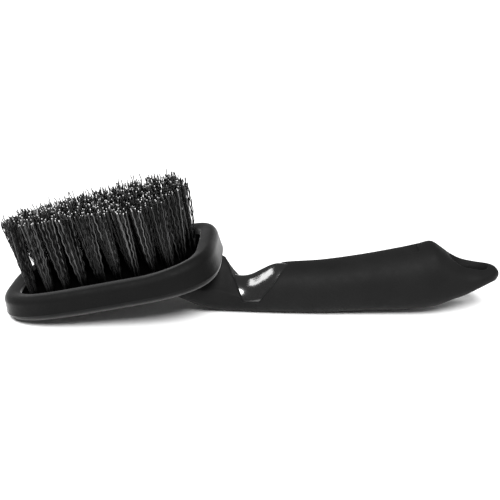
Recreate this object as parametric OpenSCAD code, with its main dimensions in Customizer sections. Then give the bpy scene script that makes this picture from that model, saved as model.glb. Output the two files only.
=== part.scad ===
// Wheel brush for washing rims: hard core, soft bumper, soft grip and trimmed tufts.
// It lies on its back, tufts up. +X runs to the tail of the handle, +Z is up, Z = 0 is the floor.

/* [Overall] */
// Length from the foremost bristle tips to the tail of the handle
overall_l = 248.2; // [246:0.2:252]

/* [Head] */
// Length of the oval head
head_l = 111; // [110:0.2:112.4]
// Width of the oval head
head_w = 68.6; // [67:0.2:72]
// Share by which the head is narrower towards the toe and wider towards the heel
head_taper = 0.09; // [0.05:0.01:0.12]
// Rise of the head from toe to heel, in degrees
head_tilt = 12.7; // [11:0.1:14]
// Height of the bumper above its parting line
head_upper = 8.7; // [8.3:0.1:9]
// Depth of the bumper's side below its parting line
head_lower = 4.8; // [4.6:0.1:6]
// Rounding of the bumper's upper edge
head_edge_r = 3.4; // [2:0.1:4]
// Rounding of the bumper's lower edge
head_round = 8; // [7:0.5:10]
// Rise of the rim towards the heel
head_lift = 2.2; // [1.6:0.1:2.6]
// Extra depth of the crowned back
head_crown = 1.2; // [0.6:0.1:1.6]

/* [Tuft pad] */
// Length of the hard pad that the tufts are set in
pad_l = 91.4; // [91:0.2:93]
// Width of the hard pad
pad_w = 50; // [49.6:0.2:51]
// Offset of the pad towards the heel
pad_x = 0.2; // [0:0.1:0.4]
// Thickness of the hard pad
pad_t = 7; // [6.6:0.1:7.2]
// Depth of the pad's face below the bumper's rim
pad_inset = 1.8; // [1.4:0.1:2.2]

/* [Tufts] */
// Spacing of the tufts along the middle row
tuft_pitch = 8.5; // [8.4:0.05:8.55]
// Spacing of the rows
row_pitch = 9.8; // [9.4:0.1:10]
// Diameter of a tuft hole
tuft_hole_d = 4.2; // [3.8:0.1:4.4]
// Depth of a tuft hole
tuft_hole_depth = 5; // [4.5:0.1:5.2]
// Diameter of a tuft at its trimmed tips
tuft_tip_d = 5.6; // [5:0.1:5.8]
// Trimmed height of the tufts above the pad
tuft_h = 34.4; // [31:0.2:34.6]
// Share by which the tips spread along the head
tip_stretch = 1.065; // [1:0.005:1.07]

/* [Staples] */
// Width of the staple that holds a tuft
staple_w = 3.9; // [3.6:0.1:4]
// Thickness of the staple
staple_t = 0.5; // [0.4:0.1:0.7]
// Height of the staple
staple_h = 2; // [1.6:0.1:2.4]

/* [Handle] */
// Height of the crest near the tail
crest_z = 36; // [34:0.5:38]
// Half width of the grip at the crest
crest_half_w = 15; // [14:0.2:15.6]
// Length of the oblong hanging hole
slot_l = 16; // [14:0.5:16.5]
// Width of the oblong hanging hole
slot_w = 8.4; // [8:0.1:8.8]
// Length of the blank window in the grip's crown
badge_l = 6.8; // [6:0.2:8]
// Width of the blank window
badge_w = 10.6; // [9:0.2:12]
// Depth of the blank window
badge_depth = 1.2; // [0.8:0.1:1.4]

/* [Tang] */
// Width of the core's bar inside the grip
tang_w = 12; // [10:0.5:14]

/* [Hidden] */
ring_points = 40;
head_points = 64;
section_power = 2.3;
head_power = 3.5;
pad_power = 4.8;

// Five staggered rows of tufts, each [row, number of tufts]
ROWS = [[-2, 9], [-1, 10], [0, 11], [1, 10], [2, 9]];
// How far the tips spread across the head at places along it: [u, share]
TIP_SPREAD = [[-40, 0.52], [-24, 0.77], [0, 1], [20, 1.17], [30, 1.1], [40, 0.9]];
// Roots and tips of the tufts, as [u, v] on the head
TUFTS = [for (r = ROWS) for (i = [0 : r[1] - 1]) root_at(r, i)];
TIPS = [for (t = TUFTS) [t[0] * tip_stretch, t[1] * lookup(t[0], TIP_SPREAD)]];

// The bumper's side: [height above the parting line, distance in from the widest outline]
head_draft = 0.5;
HEAD_SIDE = concat(
    [for (a = [90 : -22.5 : 0])
        [head_upper - head_edge_r * (1 - sin(a)), head_draft + head_edge_r * (1 - cos(a))]],
    [[0, 0]],
    [for (a = [15 : 15 : 90]) [-head_lower * sin(a), head_round * (1 - cos(a))]],
    [for (f = [0.5, 1]) [-head_lower - head_crown * (1 - pow(1 - f, 2)), head_round + f * 17]]
);
pad_top = head_upper - pad_inset;
tuft_reach = (max([for (t = TIPS) -t[0]]) + tuft_tip_d / 2) * cos(head_tilt)
    + (pad_top + tuft_h) * sin(head_tilt);
head_reach = max([for (q = HEAD_SIDE) (head_l / 2 - q[1]) * cos(head_tilt) + q[0] * sin(head_tilt)]);
head_x = max(head_reach, tuft_reach) - overall_l / 2;
head_z = max([for (q = HEAD_SIDE) (head_l / 2 - q[1]) * sin(head_tilt) - q[0] * cos(head_tilt)]);
tail_x = overall_l / 2;

// Stations of the grip, belly and shoulder: [x, top, bottom, half width, power of the upper half]
GRIP = [
    [-49.5, 24, 15.5, 17, section_power],
    [-35.5, 28, 9.5, 19.5, 1.8],
    [-23.5, 29.2, 2.2, 15.5, 1.25],
    [-13.5, 28.4, -0.6, 12.4, 1.05],
    [-3.5, 21.5, -0.8, 11.6, 1.35],
    [6.5, 21.8, -0.8, 12.3, 2.1],
    [18.5, 23.7, -0.8, 13.1, section_power],
    [36.5, 25.1, -0.4, 13.8, section_power],
    [56.5, 28.3, 0.7, 14.2, section_power],
    [75.5, 32.3, 1.6, 14.6, section_power],
    [84.5, 34.5, 2.3, 14.9, section_power],
    [90.5, crest_z, 3.2, crest_half_w, section_power],
    [95.5, 33.1, 4.8, 14.6, section_power],
    [100.5, 29.4, 7.4, 13.9, section_power],
    [106.5, 26.4, 9.9, 12.6, section_power],
    [113.5, 24.8, 13.9, 10.9, section_power],
    [119.5, 24.4, 16.5, 7.8, section_power],
    [122.3, 23.8, 17.2, 5.2, section_power],
    [tail_x, 22.2, 19, 2.4, section_power]
];
// Stations of the glossy neck, from its root under the pad to the end inside the grip
NECK = [
    [-45, 21.5, 15, 10],
    [-33, 25, 12, 11],
    [-21, 21.5, 7, 11],
    [-12, 17.8, 4.2, 10.7],
    [-5, 15.8, 3, 10.3],
    [0.4, 16.4, 2.6, 10.4],
    [6.5, 19.6, 2.6, 10.9],
    [10.5, 21.9, 2.8, 11.1],
    [14.5, 23.1, 3.2, 11.2],
    [20, 23, 3.8, 11.2]
];
// Side view of the open window that bares the neck: [x, z]
WINDOW = [
    [-12.6, 31],
    [-11.6, 26.7],
    [-10.5, 24.4],
    [-9.3, 22],
    [-8.2, 19.7],
    [-7.1, 17.4],
    [-5.9, 15.1],
    [-4.8, 12.8],
    [-3.7, 10.2],
    [-2.7, 7],
    [-2.4, 6.7],
    [4.3, 6.7],
    [5.5, 8.5],
    [7.8, 11.9],
    [11.6, 16.3],
    [14.8, 20.4],
    [17.3, 22.8],
    [19.1, 23.9],
    [20.6, 25.2],
    [20.6, 40],
    [-12.6, 40]
];
slot_x = 110;
badge_x = 80.2;
badge_top = 33.4;
mouth_z = 22;
mouth_h = 14;
mouth_flare = 0.4;
tang_x0 = 8;
tang_x1 = 94;

// Root of tuft i of a row. The outer rows are shorter and follow the head's taper.
function root_at(r, i) = let (
    side = abs(r[0]),
    u = -0.2 - 0.65 * side + (i - (r[1] - 1) / 2) * (tuft_pitch + 0.15 * side)
) [u, r[0] * row_pitch * (1 + head_taper * u / (pad_l / 2))];
function tuft_name(i) = str("tuft_", i < 9 ? "0" : "", i + 1);

// Catmull-Rom interpolation through rows of numbers, with equal steps between rows
function blend_rows(a, b, c, d, t) =
    b + 0.5 * t * ((c - a) + t * ((2 * a - 5 * b + 4 * c - d) + t * (3 * (b - c) + d - a)));
function smooth_rows(rows, steps) = let (last = len(rows) - 1) concat(
    [for (i = [0 : last - 1]) for (k = [0 : steps - 1])
        blend_rows(rows[max(i - 1, 0)], rows[i], rows[i + 1], rows[min(i + 2, last)], k / steps)],
    [rows[last]]
);

// A number raised to a power, keeping its sign
function signed_pow(v, p) = sign(v) * pow(abs(v), p);
// One superellipse, by its half sizes and power, wider towards +X by the share taper
function oval(a, b, power, count, taper = 0) = [
    for (i = [0 : count - 1])
        let (
            q = 360 * (i + 0.5) / count,
            u = signed_pow(cos(q), 2 / power),
            v = signed_pow(sin(q), 2 / power)
        )
        [a * u, b * v * (1 + taper * u)]
];

// A closed skin over rings that all have the same number of points
module skin(rings) {
    n = len(rings[0]);
    m = len(rings);
    polyhedron(
        points = [for (ring = rings) for (p = ring) p],
        faces = concat(
            [[for (i = [0 : n - 1]) i]],
            [for (k = [0 : m - 2]) for (i = [0 : n - 1])
                [k * n + i, (k + 1) * n + i, (k + 1) * n + (i + 1) % n]],
            [for (k = [0 : m - 2]) for (i = [0 : n - 1])
                [k * n + i, (k + 1) * n + (i + 1) % n, k * n + (i + 1) % n]],
            [[for (i = [n - 1 : -1 : 0]) (m - 1) * n + i]]
        ),
        convexity = 6
    );
}

// A bar along X through stations of [x, top, bottom, half width] and maybe the power of the upper half
module bar(stations, steps, count) {
    skin([
        for (s = smooth_rows(stations, steps))
            let (
                half_h = (s[1] - s[2]) / 2,
                low = oval(s[3], half_h, section_power, count),
                high = oval(s[3], half_h, len(s) > 4 ? s[4] : section_power, count)
            )
            [for (i = [0 : count - 1])
                let (p = low[i][1] > 0 ? high[i] : low[i])
                [s[0], p[0], (s[1] + s[2]) / 2 + p[1]]]
    ]);
}

// Places its children in the tilted frame of the head
module on_head() {
    translate([head_x, 0, head_z])
        rotate([0, -head_tilt, 0])
            children();
}

// Rise of the rim at a place along the head
function rim_lift(u) = let (s = max(0, min(1, (u - 18) / 36))) head_lift * s * s * (3 - 2 * s);
// An outline at a height on the head. What is above the parting line rises towards the heel.
function head_ring(outline, w) =
    [for (p = outline) [p[0], p[1], w + rim_lift(p[0]) * max(w, 0) / head_upper]];

// The head's whole outer form. Its top closes inside the pocket.
module head_form() {
    on_head()
        skin(concat(
            [for (i = [len(HEAD_SIDE) - 1 : -1 : 0])
                let (q = HEAD_SIDE[i])
                head_ring(
                    oval(head_l / 2 - q[1], head_w / 2 - q[1], head_power, head_points, head_taper), q[0]
                )],
            [head_ring(pad_outline(0.7), head_upper)],
            [[for (p = pad_outline(6)) [p[0], p[1], head_upper]]]
        ));
}
// Outline of the pad, or one that lies inside it
function pad_outline(inside = 0) =
    [for (p = oval(pad_l / 2 - inside, pad_w / 2 - inside, pad_power, head_points, head_taper))
        [p[0] + pad_x, p[1]]];

// The hard pad, before its holes, or the deeper pocket that it sits in
module pad_form(height = pad_t) {
    on_head()
        translate([0, 0, pad_top - pad_t])
            linear_extrude(height)
                polygon(pad_outline());
}

// The bar that stiffens the grip
module tang_form() {
    translate([0, tang_w / 2, 0])
        rotate([90, 0, 0])
            linear_extrude(tang_w)
                polygon([
                    [tang_x0, 5],
                    [tang_x1 - 30, 6],
                    [tang_x1, 10],
                    [tang_x1, 22],
                    [tang_x1 - 30, 19],
                    [tang_x0, 17]
                ]);
}

module core_form() {
    bar(NECK, 3, 32);
    tang_form();
    pad_form();
}

module handle_core() {
    color("#0b0b0c")
        difference() {
            core_form();
            for (t = TUFTS)
                on_head()
                    translate([t[0], t[1], pad_top - tuft_hole_depth])
                        cylinder(h = tuft_hole_depth + 1, d = tuft_hole_d, $fn = 32);
        }
}

module head_bumper() {
    color("#1c1c1d")
        difference() {
            head_form();
            pad_form(pad_t + pad_inset + head_lift + 1);
            bar(NECK, 3, 32);
        }
}

// The oblong hole through the tail, its length along X, with a mouth that flares upwards
module hang_slot() {
    half = (slot_l - slot_w) / 2;
    translate([slot_x, 0, 0]) {
        for (side = [-1, 1])
            translate([side * half, 0, 0])
                cylinder(h = 60, d = slot_w, $fn = 48);
        translate([-half, -slot_w / 2, 0])
            cube([2 * half, slot_w, 60]);
        skin([
            for (h = [-1.5, mouth_h])
                [for (a = [0 : 7.5 : 352.5])
                    let (r = slot_w / 2 + h * mouth_flare)
                    [(cos(a) < 0 ? -half : half) + r * cos(a), r * sin(a), mouth_z + h]]
        ]);
    }
}

module grip_overmould() {
    color("#161617")
        difference() {
            bar(GRIP, 3, ring_points);
            head_form();
            translate([0, 20, 0])
                rotate([90, 0, 0])
                    linear_extrude(40)
                        polygon(WINDOW);
            bar(NECK, 3, 32);
            tang_form();
            hang_slot();
            translate([badge_x - badge_l / 2, -badge_w / 2, badge_top - badge_depth])
                cube([badge_l, badge_w, 10]);
            translate([-100, -50, -20])
                cube([300, 100, 20]);
        }
}

// One staple, standing in the bottom of a tuft hole
module staple() {
    translate([-staple_t / 2, -staple_w / 2, pad_top - tuft_hole_depth])
        cube([staple_t, staple_w, staple_h]);
}

module tuft_staples() {
    color("silver")
        for (t = TUFTS)
            on_head()
                translate([t[0], t[1], 0])
                    staple();
}

// A round ring of points on the head, for a skin
function ring_at(center, d, w) =
    [for (a = [0 : 15 : 345]) [center[0] + d / 2 * cos(a), center[1] + d / 2 * sin(a), w]];

module tuft(i) {
    color("#111112")
        on_head()
            difference() {
                union() {
                    translate([TUFTS[i][0], TUFTS[i][1], pad_top - tuft_hole_depth])
                        cylinder(h = tuft_hole_depth, d = tuft_hole_d, $fn = 32);
                    skin([
                        ring_at(TUFTS[i], tuft_hole_d - 0.5, pad_top - 0.5),
                        ring_at(TIPS[i], tuft_tip_d, pad_top + tuft_h)
                    ]);
                }
                translate([TUFTS[i][0], TUFTS[i][1], 0])
                    staple();
            }
}

handle_core();
head_bumper();
grip_overmould();
tuft_staples();
for (i = [0 : len(TUFTS) - 1])
    tuft(i);
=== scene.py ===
import math

import bmesh
import bpy
import numpy as np
from mathutils import Matrix, Vector


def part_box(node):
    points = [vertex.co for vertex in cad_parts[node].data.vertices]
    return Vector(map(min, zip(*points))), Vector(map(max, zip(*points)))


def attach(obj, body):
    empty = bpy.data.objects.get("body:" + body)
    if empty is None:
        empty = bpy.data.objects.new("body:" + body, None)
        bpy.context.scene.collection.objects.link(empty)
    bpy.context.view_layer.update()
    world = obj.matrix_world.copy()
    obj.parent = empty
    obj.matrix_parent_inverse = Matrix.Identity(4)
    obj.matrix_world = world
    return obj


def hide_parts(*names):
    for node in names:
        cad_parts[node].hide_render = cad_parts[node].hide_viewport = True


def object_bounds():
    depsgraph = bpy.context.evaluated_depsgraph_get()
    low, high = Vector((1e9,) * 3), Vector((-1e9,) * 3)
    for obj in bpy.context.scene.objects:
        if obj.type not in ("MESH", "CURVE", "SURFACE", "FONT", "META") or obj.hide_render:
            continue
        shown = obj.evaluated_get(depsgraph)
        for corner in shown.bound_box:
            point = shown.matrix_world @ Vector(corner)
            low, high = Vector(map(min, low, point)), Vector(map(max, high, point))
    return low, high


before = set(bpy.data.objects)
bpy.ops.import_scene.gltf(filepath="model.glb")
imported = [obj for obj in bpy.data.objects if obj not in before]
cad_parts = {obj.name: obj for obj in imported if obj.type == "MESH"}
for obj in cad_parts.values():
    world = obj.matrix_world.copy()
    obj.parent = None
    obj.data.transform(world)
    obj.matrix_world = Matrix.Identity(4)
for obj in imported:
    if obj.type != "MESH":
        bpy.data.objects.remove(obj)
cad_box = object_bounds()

MM = 0.001

# ---------------------------------------------------------------- sizes, in millimetres
# The head and its tufts, in the head's own tilted frame: u along it, v across it, w out of it.
HEAD_L, HEAD_W, HEAD_POWER, HEAD_TAPER = 111.0, 68.6, 3.5, 0.09
HEAD_TILT = math.radians(12.7)
HEAD_UPPER, HEAD_LOWER, HEAD_ROUND, HEAD_CROWN = 8.7, 4.8, 8.0, 1.2
HEAD_EDGE_R, HEAD_DRAFT, HEAD_BACK = 3.4, 0.5, 17
# Steps along the side's edge, round and crown, in the CAD, in the visual bumper and in the grip's cutter
CAD_SIDE_STEPS, BUMPER_SIDE_STEPS, CUTTER_SIDE_STEPS = (4, 6, 2), (12, 16, 6), (6, 8, 2)
# The rim rises towards the heel, by HEAD_LIFT over a stretch that starts at LIFT_FROM.
HEAD_LIFT, LIFT_FROM, LIFT_OVER = 3.0, 18.0, 36.0
PAD_L, PAD_W, PAD_POWER, PAD_X, PAD_INSET = 91.4, 50.0, 4.8, 0.2, 1.8
PAD_T = 7.0
PAD_TOP = HEAD_UPPER - PAD_INSET
TUFT_PITCH, ROW_PITCH = 8.5, 9.8
# Where the rows are centred, how far each row out is shifted, and how much wider its pitch is
ROW_CENTRE, ROW_SHIFT, ROW_WIDER = -0.2, 0.65, 0.15
TUFT_HOLE_R, TUFT_HOLE_DEPTH = 2.1, 5.0
TUFT_H, TUFT_TIP_R = 34.4, 2.8
TIP_STRETCH = 1.065
ROWS = [(-2, 9), (-1, 10), (0, 11), (1, 10), (2, 9)]
# How far the tips spread across the head at places along it: u, share
TIP_SPREAD = [(-40, 0.52), (-24, 0.77), (0, 1.0), (20, 1.17), (30, 1.1), (40, 0.9)]

# The tail of the handle is where the CAD's box ends.
TAIL_X = cad_box[1].x / MM
# Stations along the handle: (x, top, bottom, half width, roundness of the upper half)
GRIP = [
    (-49.5, 24, 15.5, 17, 2.3),
    (-35.5, 28.0, 9.5, 19.5, 1.8),
    (-23.5, 29.2, 2.2, 15.5, 1.1),
    (-13.5, 28.4, -0.6, 12.4, 0.85),
    (-3.5, 21.5, -0.8, 11.6, 1.15),
    (6.5, 21.8, -0.8, 12.3, 2.0),
    (18.5, 23.7, -0.8, 13.1, 2.3),
    (36.5, 25.1, -0.4, 13.8, 2.3),
    (56.5, 28.3, 0.7, 14.2, 2.3),
    (75.5, 32.3, 1.6, 14.6, 2.3),
    (84.5, 34.5, 2.3, 14.9, 2.3),
    (90.5, 36.0, 3.2, 15.0, 2.3),
    (95.5, 33.1, 4.8, 14.6, 2.3),
    (100.5, 29.4, 7.4, 13.9, 2.3),
    (106.5, 26.4, 9.9, 12.6, 2.3),
    (113.5, 24.8, 13.9, 10.9, 2.3),
    (119.5, 24.4, 16.5, 7.8, 2.3),
    (122.3, 23.8, 17.2, 5.2, 2.3),
    (TAIL_X, 22.2, 19.0, 2.4, 2.3),
]
GRIP_STEPS, GRIP_POINTS, CUTTER_POINTS = 10, 96, 128
# Stations along the neck: (x, top, bottom, half width)
NECK = [
    (-45, 21.5, 15, 10),
    (-33, 25, 12, 11),
    (-21, 21.5, 7, 11),
    (-12, 18.9, 4.2, 10.7),
    (-5, 17.2, 3, 10.3),
    (0.4, 17.9, 2.6, 10.4),
    (6.5, 21.1, 2.6, 10.9),
    (10.5, 23.2, 2.8, 11.1),
    (14.5, 24.2, 3.2, 11.2),
    (20, 23.6, 3.8, 11.2),
]
SECTION_POWER = 2.3
# The neck is widest at this height, or at this share of its own height where that is more.
NECK_WIDEST_Z, NECK_WIDEST_SHARE, NECK_FLANK = 4.3, 0.3, 1.55
NECK_STEPS, NECK_POINTS = 14, 128
# Side view of the window in the overmould that bares the neck: (x, z)
WINDOW = [
    (-12.8, 30.1),
    (-11.6, 26.6),
    (-10.5, 24.0),
    (-9.4, 21.6),
    (-8.3, 19.2),
    (-7.1, 16.9),
    (-6.0, 14.7),
    (-4.8, 12.5),
    (-3.7, 10.2),
    (-3.0, 8.0),
    (-2.8, 7.7),
    (5.0, 7.7),
    (5.5, 8.5),
    (7.8, 11.9),
    (11.6, 16.3),
    (14.8, 20.4),
    (17.3, 22.8),
    (19.1, 23.9),
    (20.6, 25.2),
    (20.6, 40),
    (-12.8, 40),
]
WINDOW_HALF = 20
# The hanging hole and the flared mouth above it
SLOT_X, SLOT_L, SLOT_W, SLOT_LOW = 110.0, 16.0, 8.4, 5
MOUTH_Z, MOUTH_H, MOUTH_FLARE = 22.0, 14.0, 0.4
# The shallow blank recess on the crown of the grip
BADGE_X, BADGE_TOP, BADGE_L, BADGE_W, BADGE_DEPTH = 80.2, 33.4, 6.8, 10.6, 1.2
# How far the grip reaches into the head, and how its cut edges are rounded
GRIP_OVERLAP, GRIP_VOXEL, GRIP_PASSES = 0.35, 0.5, 4


# ---------------------------------------------------------------- outlines
def signed_pow(v, p):
    """A power that keeps the sign."""
    return np.sign(v) * np.abs(v) ** p


def oval(a, b, power, count, taper=0.0):
    """Points of a superellipse, as the CAD draws it."""
    q = 2 * np.pi * (np.arange(count) + 0.5) / count
    u, v = signed_pow(np.cos(q), 2 / power), signed_pow(np.sin(q), 2 / power)
    return np.column_stack([a * u, b * v * (1 + taper * u)])


def smooth_rows(rows, steps):
    """Catmull-Rom through rows of numbers, with equal steps between rows."""
    rows = [np.array(r, float) for r in rows]
    last = len(rows) - 1
    out = []
    for i in range(last):
        a, b, c, d = rows[max(i - 1, 0)], rows[i], rows[i + 1], rows[min(i + 2, last)]
        for k in range(steps):
            t = k / steps
            square = 2 * a - 5 * b + 4 * c - d
            cube = 3 * (b - c) + d - a
            out.append(b + 0.5 * t * ((c - a) + t * (square + t * cube)))
    return out + [rows[last]]


def head_side(edge_steps, round_steps, crown_steps):
    """Down the bumper's side: (height above the parting line, distance in from the widest outline)."""
    quarter = np.radians(np.linspace(90, 0, edge_steps + 1))
    side = [
        (HEAD_UPPER - HEAD_EDGE_R * (1 - math.sin(a)), HEAD_DRAFT + HEAD_EDGE_R * (1 - math.cos(a)))
        for a in quarter
    ]
    side.append((0.0, 0.0))
    for a in np.radians(np.linspace(0, 90, round_steps + 1)[1:]):
        side.append((-HEAD_LOWER * math.sin(a), HEAD_ROUND * (1 - math.cos(a))))
    for f in np.linspace(0, 1, crown_steps + 1)[1:]:
        side.append((-HEAD_LOWER - HEAD_CROWN * (1 - (1 - f) ** 2), HEAD_ROUND + f * HEAD_BACK))
    return side


def root_at(row, n, i):
    """Root of tuft i of a row of n. The outer rows have fewer tufts and follow the head's taper."""
    side = abs(row)
    u = ROW_CENTRE - ROW_SHIFT * side + (i - (n - 1) / 2) * (TUFT_PITCH + ROW_WIDER * side)
    return u, row * ROW_PITCH * (1 + HEAD_TAPER * u / (PAD_L / 2))


def tip_spread(u):
    """How far the tips spread across the head at u."""
    places, shares = zip(*TIP_SPREAD)
    return np.interp(u, places, shares)


TUFTS = [root_at(row, n, i) for row, n in ROWS for i in range(n)]
# The head's frame sits so that the head starts and rests where the CAD's bumper does.
head_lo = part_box("head_bumper")[0]
SIN, COS = math.sin(HEAD_TILT), math.cos(HEAD_TILT)
CAD_SIDE = head_side(*CAD_SIDE_STEPS)
HEAD_X = head_lo.x / MM + max((HEAD_L / 2 - d) * COS + w * SIN for w, d in CAD_SIDE)
HEAD_Z = head_lo.z / MM + max((HEAD_L / 2 - d) * SIN - w * COS for w, d in CAD_SIDE)
HEAD_FRAME = Matrix.Translation((HEAD_X * MM, 0, HEAD_Z * MM)) @ Matrix.Rotation(-HEAD_TILT, 4, "Y")


# ---------------------------------------------------------------- mesh helpers
def mesh_object(name, verts, faces, smooth=True):
    """A mesh object from millimetre points."""
    mesh = bpy.data.meshes.new(name)
    mesh.from_pydata([tuple(v) for v in np.asarray(verts, float) * MM], [], faces)
    mesh.validate()
    bm = bmesh.new()
    bm.from_mesh(mesh)
    bmesh.ops.recalc_face_normals(bm, faces=bm.faces)
    bm.to_mesh(mesh)
    bm.free()
    mesh.polygons.foreach_set("use_smooth", [smooth] * len(mesh.polygons))
    piece = bpy.data.objects.new(name, mesh)
    bpy.context.scene.collection.objects.link(piece)
    return piece


def ring_faces(ring_count, n):
    """Faces between rings of n points each."""
    return [
        (k * n + i, k * n + (i + 1) % n, (k + 1) * n + (i + 1) % n, (k + 1) * n + i)
        for k in range(ring_count - 1)
        for i in range(n)
    ]


def end_faces(first, last, n):
    """The two faces that close a tube, from the first points of its end rings."""
    return [tuple(first + i for i in range(n))[::-1], tuple(last + i for i in range(n))]


def skin(name, rings, smooth=True, open_start=False):
    """A skin over rings with the same number of points, closed at both ends or only at the last."""
    n = len(rings[0])
    ends = end_faces(0, (len(rings) - 1) * n, n)
    faces = ring_faces(len(rings), n) + (ends[1:] if open_start else ends)
    return mesh_object(name, np.vstack(rings), faces, smooth)


def section(x, widest, low, high):
    """A ring across X at one station, of the lower half of one outline and the upper half of another."""
    p = np.where(low[:, 1:] > 0, high, low)
    return np.column_stack([np.full(len(p), x), p[:, 0], widest + p[:, 1]])


def prism(name, outline, low, high, axis):
    """A prism of an outline in the other two axes, from low to high along axis."""
    rings = []
    for value in (low, high):
        ring = np.zeros((len(outline), 3))
        others = [i for i in range(3) if i != axis]
        ring[:, others] = outline
        ring[:, axis] = value
        rings.append(ring)
    return skin(name, rings, smooth=False)


def apply_modifiers(piece):
    """Gives a piece the mesh that its modifiers make."""
    dg = bpy.context.evaluated_depsgraph_get()
    dg.update()
    mesh = bpy.data.meshes.new_from_object(piece.evaluated_get(dg), depsgraph=dg)
    piece.modifiers.clear()
    piece.data = mesh


def cut(piece, *tools):
    """Cuts the tools out of a piece and deletes them."""
    for tool in tools:
        m = piece.modifiers.new("cut", "BOOLEAN")
        m.operation = "DIFFERENCE"
        m.solver = "EXACT"
        m.object = tool
    apply_modifiers(piece)
    for tool in tools:
        bpy.data.objects.remove(tool)


def soften(piece, voxel, passes):
    """Remeshes a cut moulding and rounds its edges, as a soft shot comes out of the tool."""
    m = piece.modifiers.new("remesh", "REMESH")
    m.mode = "VOXEL"
    m.voxel_size = voxel * MM
    m.use_smooth_shade = True
    s = piece.modifiers.new("smooth", "SMOOTH")
    s.factor = 0.5
    s.iterations = passes
    apply_modifiers(piece)


# ---------------------------------------------------------------- materials
class Surface:
    """A material whose shader inputs are driven by noise in the object's own space."""

    def __init__(self, name):
        self.material = bpy.data.materials.new(name)
        self.material.use_nodes = True
        self.nodes = self.material.node_tree.nodes
        self.links = self.material.node_tree.links
        self.shader = self.nodes["Principled BSDF"]

    def noise(self, scale, detail, roughness=0.55):
        where = self.nodes.new("ShaderNodeTexCoord")
        tex = self.nodes.new("ShaderNodeTexNoise")
        tex.inputs["Scale"].default_value = scale
        tex.inputs["Detail"].default_value = detail
        tex.inputs["Roughness"].default_value = roughness
        self.links.new(where.outputs["Object"], tex.inputs["Vector"])
        return tex.outputs["Fac"]

    def attribute(self, name):
        node = self.nodes.new("ShaderNodeAttribute")
        node.attribute_name = name
        return node.outputs["Fac"]

    def ramp(self, source, stops):
        """Grey values along a source, from stops of (place, value)."""
        node = self.nodes.new("ShaderNodeValToRGB")
        elements = node.color_ramp.elements
        while len(elements) < len(stops):
            elements.new(0.5)
        for element, (at, value) in zip(elements, stops):
            element.position = at
            element.color = (value, value, value, 1)
        self.links.new(source, node.inputs["Fac"])
        return node.outputs["Color"]

    def mix(self, factor, a, b, blend="MIX"):
        """A blend of two colours. The factor is a socket or a number."""
        node = self.nodes.new("ShaderNodeMix")
        node.data_type = "RGBA"
        node.blend_type = blend
        if isinstance(factor, float):
            node.inputs["Factor"].default_value = factor
        else:
            self.links.new(factor, node.inputs["Factor"])
        self.links.new(a, node.inputs["A"])
        self.links.new(b, node.inputs["B"])
        return node.outputs["Result"]

    def drive(self, socket, source):
        self.links.new(source, self.shader.inputs[socket])

    def vary(self, socket, scale, detail, stops):
        """Drives a shader input by a ramp over noise."""
        self.drive(socket, self.ramp(self.noise(scale, detail), stops))

    def bump(self, source, strength, distance):
        node = self.nodes.new("ShaderNodeBump")
        node.inputs["Strength"].default_value = strength
        node.inputs["Distance"].default_value = distance
        self.links.new(source, node.inputs["Height"])
        self.drive("Normal", node.outputs["Normal"])

    def set(self, **values):
        """Sets constant shader inputs, named with underscores for spaces."""
        for socket, value in values.items():
            self.shader.inputs[socket.replace("_", " ")].default_value = value


def soft_material(name, tone, sheen):
    """Soft-touch black elastomer: fine spark texture, faint mottling and dust."""
    soft = Surface(name)
    soft.vary("Base Color", 60, 3, [(0.3, tone * 0.85), (0.75, tone * 1.2)])
    soft.vary("Roughness", 240, 2, [(0.3, 0.55), (0.7, 0.7)])
    soft.bump(soft.noise(1700, 2, 0.6), 0.6, 0.00016)
    soft.set(Specular_IOR_Level=0.08, Sheen_Weight=sheen, Sheen_Roughness=0.33)
    return soft.material


def gloss_material():
    """Polished black polypropylene, with faint flow ripple and hairline handling marks."""
    gloss = Surface("core_gloss")
    gloss.vary("Base Color", 90, 3, [(0.3, 0.002), (0.8, 0.004)])
    gloss.vary("Roughness", 500, 4, [(0.35, 0.13), (0.8, 0.18)])
    gloss.bump(gloss.noise(110, 2), 0.12, 0.0004)
    gloss.set(Specular_IOR_Level=0.95)
    return gloss.material


def pad_material():
    """The drilled face of the core: the same plastic with a duller moulded face, painted darker than the
    neck as painted shade from the tufts.
    """
    pad = Surface("pad_face")
    # Painted shade: a darker copy of the neck's black, for the shade the tufts cast on the pad.
    pad.vary("Base Color", 300, 3, [(0.3, 0.0006), (0.8, 0.0012)])
    pad.vary("Roughness", 900, 3, [(0.3, 0.5), (0.7, 0.65)])
    pad.bump(pad.noise(3000, 2), 0.3, 0.00008)
    pad.set(Specular_IOR_Level=0.0)
    return pad.material


def filament_material():
    """Satin black crimped filament. A share of the filaments carries painted highlights: lighter along the
    body for streaks, and pale at the trimmed end for glints. Painted shade darkens the roots.
    """
    filament = Surface("filament")
    along = filament.attribute("along")
    shade = filament.attribute("shade")
    # Painted highlight: the filaments with the highest shade values are painted lighter along their
    # bodies, for glinting streaks.
    body = filament.ramp(shade, [(0.0, 0.0006), (0.62, 0.0012), (0.72, 0.016), (1.0, 0.1)])
    # Painted glint: the same share of filaments is painted pale at its trimmed end.
    end = filament.ramp(shade, [(0.0, 0.0006), (0.74, 0.002), (0.79, 0.5), (1.0, 0.95)])
    at_end = filament.ramp(along, [(0.0, 0.0), (0.988, 0.0), (1.0, 1.0)])
    # Painted shade: the filaments are painted darker towards their roots, where the tufts shade each
    # other.
    root_shade = filament.ramp(along, [(0.12, 0.06), (0.5, 1.0)])
    shaded = filament.mix(1.0, body, root_shade, "MULTIPLY")
    filament.drive("Base Color", filament.mix(at_end, shaded, end))
    filament.vary("Roughness", 1500, 2, [(0.3, 0.22), (0.7, 0.34)])
    filament.bump(filament.noise(6000, 2), 0.2, 0.00003)
    filament.set(Specular_IOR_Level=0.2)
    return filament.material


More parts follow.
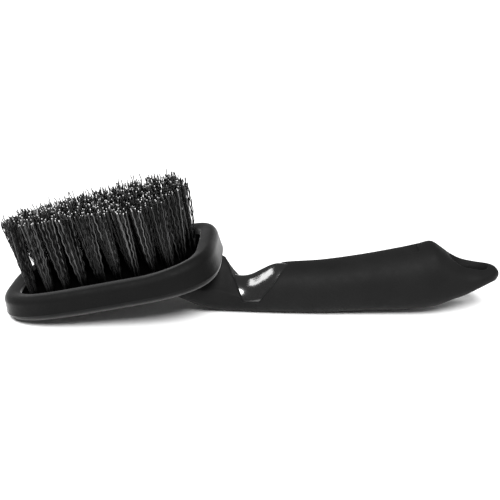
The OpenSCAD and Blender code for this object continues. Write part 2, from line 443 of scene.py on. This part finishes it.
def steel_material():
    """Bare flat wire with drawing lines."""
    steel = Surface("staple_steel")
    steel.vary("Base Color", 2500, 4, [(0.3, 0.4), (0.7, 0.6)])
    steel.vary("Roughness", 4000, 2, [(0.3, 0.25), (0.7, 0.4)])
    steel.set(Metallic=1.0)
    return steel.material


def floor_material():
    """Plain white card."""
    card = Surface("white_floor")
    card.vary("Base Color", 6, 2, [(0.3, 0.9), (0.7, 0.93)])
    card.set(Roughness=0.6, Specular_IOR_Level=0.2)
    return card.material


def finish_piece(piece, material, node):
    """Dresses a piece and puts it in the place of a CAD node."""
    piece.data.materials.clear()
    piece.data.materials.append(material)
    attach(piece, "root")
    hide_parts(node)


# ---------------------------------------------------------------- camera, lights and floor
# Places and distances here are in metres.
AZIMUTH, ELEVATION = math.radians(1.8), math.radians(21.7)
DISTANCE, TARGET = 0.400, Vector((0.0002, 0.0, 0.0312))
SENSOR_WIDTH, LENS = 36.0, 57.6
SKY_STRENGTH = 0.3
KEY_STRENGTH, KEY_ANGLE, KEY_DIRECTION = 4.6, 0.4, Vector((-0.14, 0.64, -0.755))
BOX_PLACE, BOX_TARGET = Vector((-0.39, -0.06, 0.55)), Vector((0.010, 0.0, 0.020))
BOX_LENGTH, BOX_WIDTH, BOX_POWER = 0.34, 0.27, 3.2
# Half the floor's side and how far it lies under the brush, in millimetres
FLOOR_HALF, FLOOR_DROP = 3000.0, 0.02


def place_aimed(name, data, place, direction):
    """Puts a camera or a light at a place, looking in a direction."""
    thing = bpy.data.objects.new(name, data)
    thing.location = place
    thing.rotation_mode = "QUATERNION"
    thing.rotation_quaternion = direction.to_track_quat("-Z", "Y")
    bpy.context.scene.collection.objects.link(thing)
    return thing


def make_camera():
    data = bpy.data.cameras.new("camera")
    data.sensor_width = SENSOR_WIDTH
    data.lens = LENS
    back = Vector((
        math.sin(AZIMUTH) * math.cos(ELEVATION),
        -math.cos(AZIMUTH) * math.cos(ELEVATION),
        math.sin(ELEVATION),
    ))
    bpy.context.scene.camera = place_aimed("camera", data, TARGET + back * DISTANCE, -back)


def make_lights():
    """An even white sky, a large soft key from the front and above, and a soft box from the left."""
    world = bpy.data.worlds.new("studio")
    world.use_nodes = True
    sky = world.node_tree.nodes["Background"]
    sky.inputs["Color"].default_value = (1, 1, 1, 1)
    sky.inputs["Strength"].default_value = SKY_STRENGTH
    bpy.context.scene.world = world
    bpy.context.scene.view_settings.view_transform = "Standard"
    key = bpy.data.lights.new("key_sun", "SUN")
    key.energy = KEY_STRENGTH
    key.angle = KEY_ANGLE
    place_aimed("key", key, Vector(), KEY_DIRECTION)
    box = bpy.data.lights.new("side_box", "AREA")
    box.energy = BOX_POWER
    box.shape = "RECTANGLE"
    box.size = BOX_LENGTH
    box.size_y = BOX_WIDTH
    place_aimed("side_box", box, BOX_PLACE, BOX_TARGET - BOX_PLACE)


def make_floor():
    corners = [(-1, -1), (1, -1), (1, 1), (-1, 1)]
    points = [(x * FLOOR_HALF, y * FLOOR_HALF, -FLOOR_DROP) for x, y in corners]
    floor = mesh_object("floor", points, [(0, 1, 2, 3)], smooth=False)
    floor.data.materials.append(floor_material())


# ---------------------------------------------------------------- the head
# The rim slopes down by RIM_DROP to a small rounded lip, and the pocket's wall is a hair clear of the pad.
RIM_DROP, RIM_LIP, WALL_GAP = 0.5, 0.3, 0.12
WALL_LOW, WALL_FOOT_GAP, WALL_HIGH = 1.6, 0.1, 0.4
RIM_SHARES = (0.12, 0.27, 0.43, 0.6, 0.78)
# The side stands in from the parting line, which is a fine ridge: (height, distance in)
SIDE_INSET = 0.15
PARTING = [(0.4, SIDE_INSET), (0.16, 0.07), (0.0, 0.0), (-0.16, 0.07), (-0.4, SIDE_INSET)]
PARTING_ROOM = 0.6
NIB, NIB_SHARPNESS = 0.5, 40
BUMPER_POINTS, LIP_STEPS = 288, 5
PAD_POINTS, PAD_EDGE, HOLE_SIDES, HOLE_CHAMFER = 192, 0.3, 32, 0.35


def head_outline(inset, count):
    return oval(HEAD_L / 2 - inset, HEAD_W / 2 - inset, HEAD_POWER, count, HEAD_TAPER)


def pad_outline(grow, count):
    return oval(PAD_L / 2 + grow, PAD_W / 2 + grow, PAD_POWER, count, HEAD_TAPER) + np.array([PAD_X, 0])


def level(outline, w):
    """An outline as a ring of points at one height."""
    return np.column_stack([outline, np.full(len(outline), w)])


def lifted(outline, w):
    """A level ring raised towards the heel as the rim is. Nothing rises below the parting line."""
    s = np.clip((outline[:, 0] - LIFT_FROM) / LIFT_OVER, 0, 1)
    lift = HEAD_LIFT * s * s * (3 - 2 * s)
    return np.column_stack([outline, w + lift * max(w, 0) / HEAD_UPPER])


def parting_outline(inset, count):
    """The parting line's own outline, which stands out in a nib at the toe."""
    p = head_outline(inset, count)
    toe = np.clip(-p[:, 0] / (HEAD_L / 2), 0, 1) ** NIB_SHARPNESS
    return p + np.column_stack([-NIB * toe, 0 * toe])


def make_bumper():
    """Rim, side and crowned back in one skin, from the pocket's wall round to the middle of the back."""
    count = BUMPER_POINTS
    inner_w = HEAD_UPPER - RIM_DROP
    rings = [
        lifted(pad_outline(WALL_FOOT_GAP, count), PAD_TOP - WALL_LOW),
        lifted(pad_outline(WALL_GAP, count), inner_w - RIM_LIP - WALL_HIGH),
    ]
    for a in np.radians(np.linspace(0, 90, LIP_STEPS + 1)):
        grow = WALL_GAP + RIM_LIP * (1 - math.cos(a))
        rings.append(lifted(pad_outline(grow, count), inner_w - RIM_LIP * (1 - math.sin(a))))
    side = head_side(*BUMPER_SIDE_STEPS)
    inner = pad_outline(WALL_GAP + RIM_LIP, count)
    rim = head_outline(side[0][1] + SIDE_INSET, count)
    for f in RIM_SHARES:
        rings.append(lifted(inner * (1 - f) + rim * f, inner_w + RIM_DROP * math.sin(math.pi / 2 * f)))
    for w, d in side:
        if w == 0.0:
            for height, inset in PARTING:
                outline = head_outline if height else parting_outline
                rings.append(lifted(outline(inset, count), height))
        elif abs(w) > PARTING_ROOM:
            rings.append(lifted(head_outline(d + SIDE_INSET, count), w))
    bumper = skin("head_bumper_skin", rings, open_start=True)
    bumper.data.transform(HEAD_FRAME)
    finish_piece(bumper, soft_material("bumper_skin", 0.0026, 0.36), "head_bumper")


def make_pad():
    """The pad's drilled face, with a chamfer round each tuft hole."""
    heights = ((0, PAD_TOP - PAD_T), (0, PAD_TOP - PAD_EDGE), (-PAD_EDGE, PAD_TOP))
    rings = [level(pad_outline(grow, PAD_POINTS), w) for grow, w in heights]
    pad = skin("pad_face", rings, smooth=False)
    sides, chamfer = HOLE_SIDES, HOLE_CHAMFER
    q = 2 * np.pi * np.arange(sides) / sides
    circle = np.column_stack([np.cos(q), np.sin(q)])
    levels = (
        (TUFT_HOLE_R, PAD_TOP - TUFT_HOLE_DEPTH),
        (TUFT_HOLE_R, PAD_TOP - chamfer),
        (TUFT_HOLE_R + chamfer * 2, PAD_TOP + chamfer),
    )
    verts, faces = [], []
    for u, v in TUFTS:
        base = len(verts)
        for r, w in levels:
            verts += [(u + r * c[0], v + r * c[1], w) for c in circle]
        faces += [tuple(base + i for i in f) for f in ring_faces(len(levels), sides)]
        faces += end_faces(base, base + (len(levels) - 1) * sides, sides)
    cut(pad, mesh_object("hole_tools", verts, faces, smooth=False))
    pad.data.transform(HEAD_FRAME)
    finish_piece(pad, pad_material(), "handle_core")


# ---------------------------------------------------------------- the handle
def make_neck():
    """The neck. Its upper part has flat flanks down to a low widest line."""
    rings = []
    for x, top, bottom, half in smooth_rows(NECK, NECK_STEPS):
        widest = max(NECK_WIDEST_Z, bottom + NECK_WIDEST_SHARE * (top - bottom))
        low = oval(half, widest - bottom, SECTION_POWER, NECK_POINTS)
        high = oval(half, top - widest, NECK_FLANK, NECK_POINTS)
        rings.append(section(x, widest, low, high))
    finish_piece(skin("neck_gloss", rings), gloss_material(), "handle_core")


def slot_tool():
    """The hanging hole, with a mouth that flares towards the upper face."""
    straight = (SLOT_L - SLOT_W) / 2
    q = np.radians(np.linspace(-90, 90, 25))

    def stadium(r):
        right = np.column_stack([straight + r * np.cos(q), r * np.sin(q)])
        return np.vstack([right, -right]) + np.array([SLOT_X, 0])

    mouth = (SLOT_W / 2 + MOUTH_FLARE * MOUTH_H, MOUTH_Z + MOUTH_H)
    levels = ((SLOT_W / 2, SLOT_LOW), (SLOT_W / 2, MOUTH_Z), mouth)
    return skin("slot_tool", [level(stadium(r), z) for r, z in levels], smooth=False)


def box_tool(name, low, high):
    (x0, y0, z0), (x1, y1, z1) = low, high
    return prism(name, [(x0, y0), (x1, y0), (x1, y1), (x0, y1)], z0, z1, 2)


def head_tool():
    """The head's own form, a little smaller, so that the grip reaches just inside the bumper."""
    side = head_side(*CUTTER_SIDE_STEPS)[::-1]
    tool = skin("head_tool", [level(head_outline(d + GRIP_OVERLAP, CUTTER_POINTS), w) for w, d in side])
    tool.data.transform(HEAD_FRAME)
    return tool


def make_grip():
    """The soft sleeve, with its shoulder, window, hanging hole and flat underside."""
    rings = []
    for x, top, bottom, half, upper in smooth_rows(GRIP, GRIP_STEPS):
        low = oval(half, (top - bottom) / 2, SECTION_POWER, GRIP_POINTS)
        high = oval(half, (top - bottom) / 2, upper, GRIP_POINTS)
        rings.append(section(x, (top + bottom) / 2, low, high))
    grip = skin("grip_skin", rings)
    cut(
        grip,
        head_tool(),
        prism("window_tool", WINDOW, -WINDOW_HALF, WINDOW_HALF, 1),
        slot_tool(),
        box_tool(
            "badge_tool",
            (BADGE_X - BADGE_L / 2, -BADGE_W / 2, BADGE_TOP - BADGE_DEPTH),
            (BADGE_X + BADGE_L / 2, BADGE_W / 2, BADGE_TOP + 10),
        ),
        box_tool("floor_tool", (-100, -50, -20), (200, 50, 0)),
    )
    soften(grip, GRIP_VOXEL, GRIP_PASSES)
    finish_piece(grip, soft_material("grip_skin", 0.0072, 0.02), "grip_overmould")


# ---------------------------------------------------------------- the tufts
FILAMENT_R = 0.24
FILAMENTS = 48
FILAMENT_RINGS = 42
FILAMENT_SIDES = 5
SEED = 700
FULL_TURN = 6.28
# Each tuft fills its hole but for ROOT_MARGIN, and starts ROOT_DEPTH under the pad's face.
ROOT_MARGIN, ROOT_DEPTH = 0.1, 3.0
# The tips of one tuft spread to this radius, each off its place by TIP_SCATTER.
SPREAD, TIP_SCATTER, EDGE_SCATTER = 4.1, 0.4, 0.45
# How much of the way back to the trimmed face's edge a tip past it is pulled
EDGE_PULL = 0.85
# The middle of a filament bows sideways by BOW_SCATTER, and its fan starts at the root by this power.
BOW_SCATTER, FAN_POWER = 0.45, (0.92, 1.25)
# Trimmed length and its scatter. Some filaments end off the trim by more, up or down.
MEAN_H, LENGTH_SCATTER, RAGGED_SHARE, RAGGED_RANGE = 33.9, 0.5, 0.2, (-1.6, 3.8)
# No filament stands higher than the CAD's tallest tuft, which ends at TALLEST_U, less HEADROOM.
TALLEST_U, HEADROOM = HEAD_L / 2 * 0.86 + TUFT_TIP_R, 1.0
# The crimp grows to its full height over the first CRIMP_START of the filament.
CRIMP_PERIOD, CRIMP_HEIGHT, CRIMP_START = 4.8, 0.21, 5
CRIMP_PERIOD_RANGE, CRIMP_HEIGHT_RANGE, CRIMP_SCATTER = (0.88, 1.12), (0.7, 1.3), 0.5
# Half the width of the trimmed face at places along it: u, half width
TIP_OUTLINE = [
    (-48, 1.5),
    (-44, 6),
    (-40, 9.8),
    (-36, 11.6),
    (-30, 13.6),
    (-24, 15.4),
    (-14, 18.6),
    (-5, 20.4),
    (4, 21.6),
    (14, 23.8),
    (22, 25.8),
    (31, 25.3),
    (38, 20.5),
    (44, 12.5),
    (48, 3.0),
]
# Past SOFT_END the tips crowd towards HARD_END. The far side of the outline is wider by BACK_SHARE.
SOFT_END, HARD_END = 43.0, 48.0
BACK_SHARE = 1.2
# Tufts at the toe and heel with strays: number, shift of the tips, bow of the middle
STRAYS = {
    9: (2, -1.6, -0.8),
    19: (2, -1.8, -0.8),
    18: (1, 1.0, 1.4),
    29: (2, 1.2, 1.6),
    39: (2, 1.4, 1.6),
}


def tip_place(u, v, rng):
    """Where a filament that would end at (u, v) of the roots' pattern ends on the trimmed face."""
    places, widths = zip(*TIP_OUTLINE)
    far = np.abs(u * TIP_STRETCH)
    room = HARD_END - SOFT_END
    bent = SOFT_END + room * (1 - np.exp(-(np.maximum(far, SOFT_END) - SOFT_END) / room))
    tip_u = np.sign(u) * np.where(far > SOFT_END, bent, far)
    tip_v = v * tip_spread(u)
    limit = np.interp(tip_u, places, widths) * np.where(tip_v > 0, BACK_SHARE, 1.0)
    limit += rng.normal(0, EDGE_SCATTER, len(u))
    over = np.maximum(np.abs(tip_v) - limit, 0)
    return tip_u, np.sign(tip_v) * (np.abs(tip_v) - over * EDGE_PULL)


def column(values):
    """One value for each filament, as a column beside its rings."""
    return np.asarray(values)[:, None]


def filament_paths(rng, centre, n, strays=None):
    """Points along each filament of one tuft: an array of filaments x rings x 3.

    The first few strays part from the tuft: strays is (number, shift of the tips, bow of the middle).
    """
    k = np.arange(n) + 0.5
    r = np.sqrt(k / n)
    a = k * math.pi * (3 - math.sqrt(5)) + rng.uniform(0, FULL_TURN)
    disc = np.column_stack([r * np.cos(a), r * np.sin(a)])
    root = np.array(centre) + disc * (TUFT_HOLE_R - ROOT_MARGIN)
    tip_u, tip_v = tip_place(
        centre[0] + disc[:, 0] * SPREAD + rng.normal(0, TIP_SCATTER, n),
        centre[1] + disc[:, 1] * SPREAD + rng.normal(0, TIP_SCATTER, n),
        rng,
    )
    bow = rng.normal(0, BOW_SCATTER, (n, 2))
    if strays:
        number, shift, bend = strays
        outermost = tip_u.max() if shift > 0 else tip_u.min()
        tip_u[:number] = outermost + shift * rng.uniform(0.5, 1, number)
        bow[:number, 0] = bend
    length = MEAN_H + rng.normal(0, LENGTH_SCATTER, n)
    ragged = rng.random(n) < RAGGED_SHARE
    length += ragged * rng.uniform(*RAGGED_RANGE, n)
    length = np.minimum(length, (TALLEST_U - tip_u) * SIN / COS + TUFT_H - HEADROOM)
    tip = np.column_stack([tip_u, tip_v])
    height = np.linspace(0, 1, FILAMENT_RINGS) * column(length + ROOT_DEPTH) - ROOT_DEPTH
    out = np.clip(height / column(length), 0, 1)
    fan = out ** column(rng.uniform(*FAN_POWER, n))
    path = np.zeros((n, FILAMENT_RINGS, 3))
    path[:, :, :2] = root[:, None, :] + (tip - root)[:, None, :] * fan[:, :, None]
    path[:, :, 2] = PAD_TOP + height
    period = CRIMP_PERIOD * column(rng.uniform(*CRIMP_PERIOD_RANGE, n))
    start = rng.uniform(0, FULL_TURN) + column(rng.normal(0, CRIMP_SCATTER, n))
    size = CRIMP_HEIGHT * column(rng.uniform(*CRIMP_HEIGHT_RANGE, n)) * np.clip(height / CRIMP_START, 0, 1)
    wave = size * np.sin(start + 2 * np.pi * height / period)
    turn = column(rng.normal(0, CRIMP_SCATTER, n))
    path[:, :, 0] += wave * np.cos(turn)
    path[:, :, 1] += wave * np.sin(turn)
    path[:, :, :2] += bow[:, None, :] * np.sin(np.pi * out)[:, :, None]
    return path


def tube_mesh(name, paths, shades):
    """Round tubes along paths, with the attributes along and shade on each point."""
    n, m, _ = paths.shape
    tangent = np.gradient(paths, axis=1)
    tangent /= np.linalg.norm(tangent, axis=2, keepdims=True)
    side = np.cross(tangent, np.array([0.0, 1.0, 0.0]))
    side /= np.linalg.norm(side, axis=2, keepdims=True)
    other = np.cross(tangent, side)
    q = 2 * np.pi * np.arange(FILAMENT_SIDES) / FILAMENT_SIDES
    verts = (
        paths[:, :, None, :]
        + FILAMENT_R * np.cos(q)[None, None, :, None] * side[:, :, None, :]
        + FILAMENT_R * np.sin(q)[None, None, :, None] * other[:, :, None, :]
    ).reshape(-1, 3)
    k = FILAMENT_SIDES
    faces = []
    for f in range(n):
        base = f * m * k
        faces += [tuple(base + i for i in quad) for quad in ring_faces(m, k)]
        faces += end_faces(base, base + (m - 1) * k, k)
    mesh = bpy.data.meshes.new(name)
    mesh.from_pydata([tuple(v) for v in verts * MM], [], faces)
    along = np.tile(np.repeat(np.linspace(0, 1, m), k), n)
    shade = np.repeat(shades, m * k)
    for key, values in (("along", along), ("shade", shade)):
        attribute = mesh.attributes.new(key, "FLOAT", "POINT")
        attribute.data.foreach_set("value", values.astype(np.float32))
    mesh.polygons.foreach_set("use_smooth", [len(p.vertices) == 4 for p in mesh.polygons])
    mesh.transform(HEAD_FRAME)
    piece = bpy.data.objects.new(name, mesh)
    bpy.context.scene.collection.objects.link(piece)
    return piece


def make_tufts():
    """One piece for each tuft, each with its own seed."""
    material = filament_material()
    for i, centre in enumerate(TUFTS):
        rng = np.random.default_rng(SEED + i)
        paths = filament_paths(rng, centre, FILAMENTS, STRAYS.get(i))
        piece = tube_mesh(f"tuft_{i + 1:02d}_filaments", paths, rng.random(FILAMENTS))
        finish_piece(piece, material, f"tuft_{i + 1:02d}")


def dress_staples():
    """The staples are the CAD's own, in steel."""
    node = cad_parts["tuft_staples"]
    node.data.materials.clear()
    node.data.materials.append(steel_material())


make_camera()
make_lights()
make_floor()
make_bumper()
make_pad()
make_neck()
make_grip()
make_tufts()
dress_staples()
